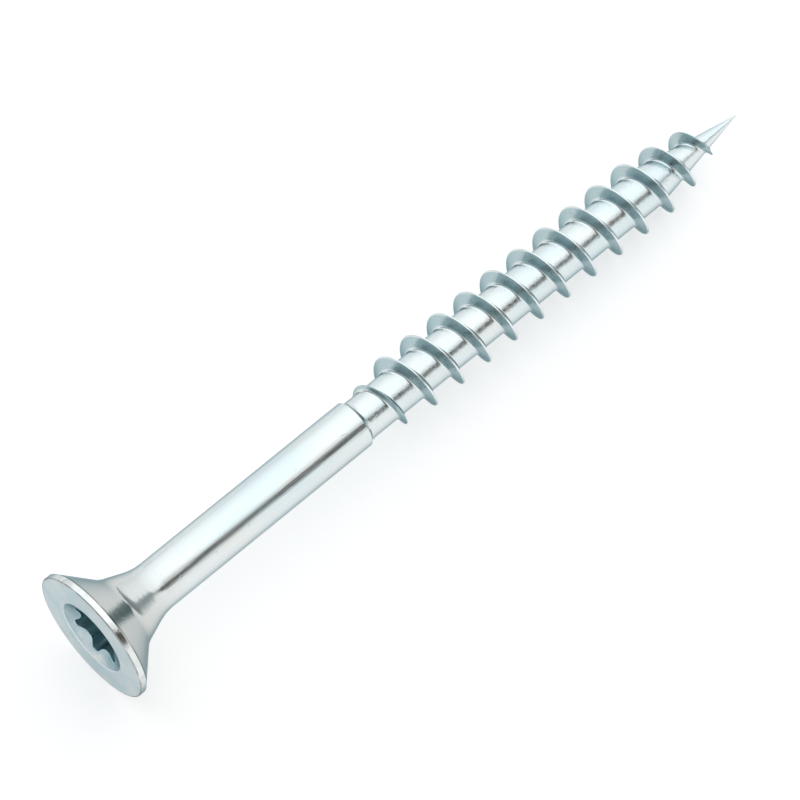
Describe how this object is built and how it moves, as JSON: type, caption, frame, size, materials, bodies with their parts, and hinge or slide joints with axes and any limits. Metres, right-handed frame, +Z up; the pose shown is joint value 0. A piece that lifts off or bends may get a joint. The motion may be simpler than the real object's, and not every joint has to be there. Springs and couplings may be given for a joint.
{
  "type": "countersunk wood screw",
  "caption": "Countersunk wood screw with a lobed drive recess, tapered neck, plain shank, coarse right-hand thread and gimlet point.",
  "frame": {"origin": "on the table under the middle of the lying screw", "axes": "+X from the head towards the point, +Z up, the screw lying on its head's rim and its thread"},
  "size_m": [0.0602, 0.01, 0.01],
  "materials": {
    "zinc_plated_steel": "bright bluish zinc plating, smooth on the shank and thread, slightly grainy on the head's face"
  },
  "bodies": {
    "root": {"wood_screw": "zinc_plated_steel"}
  },
  "joints": []
}
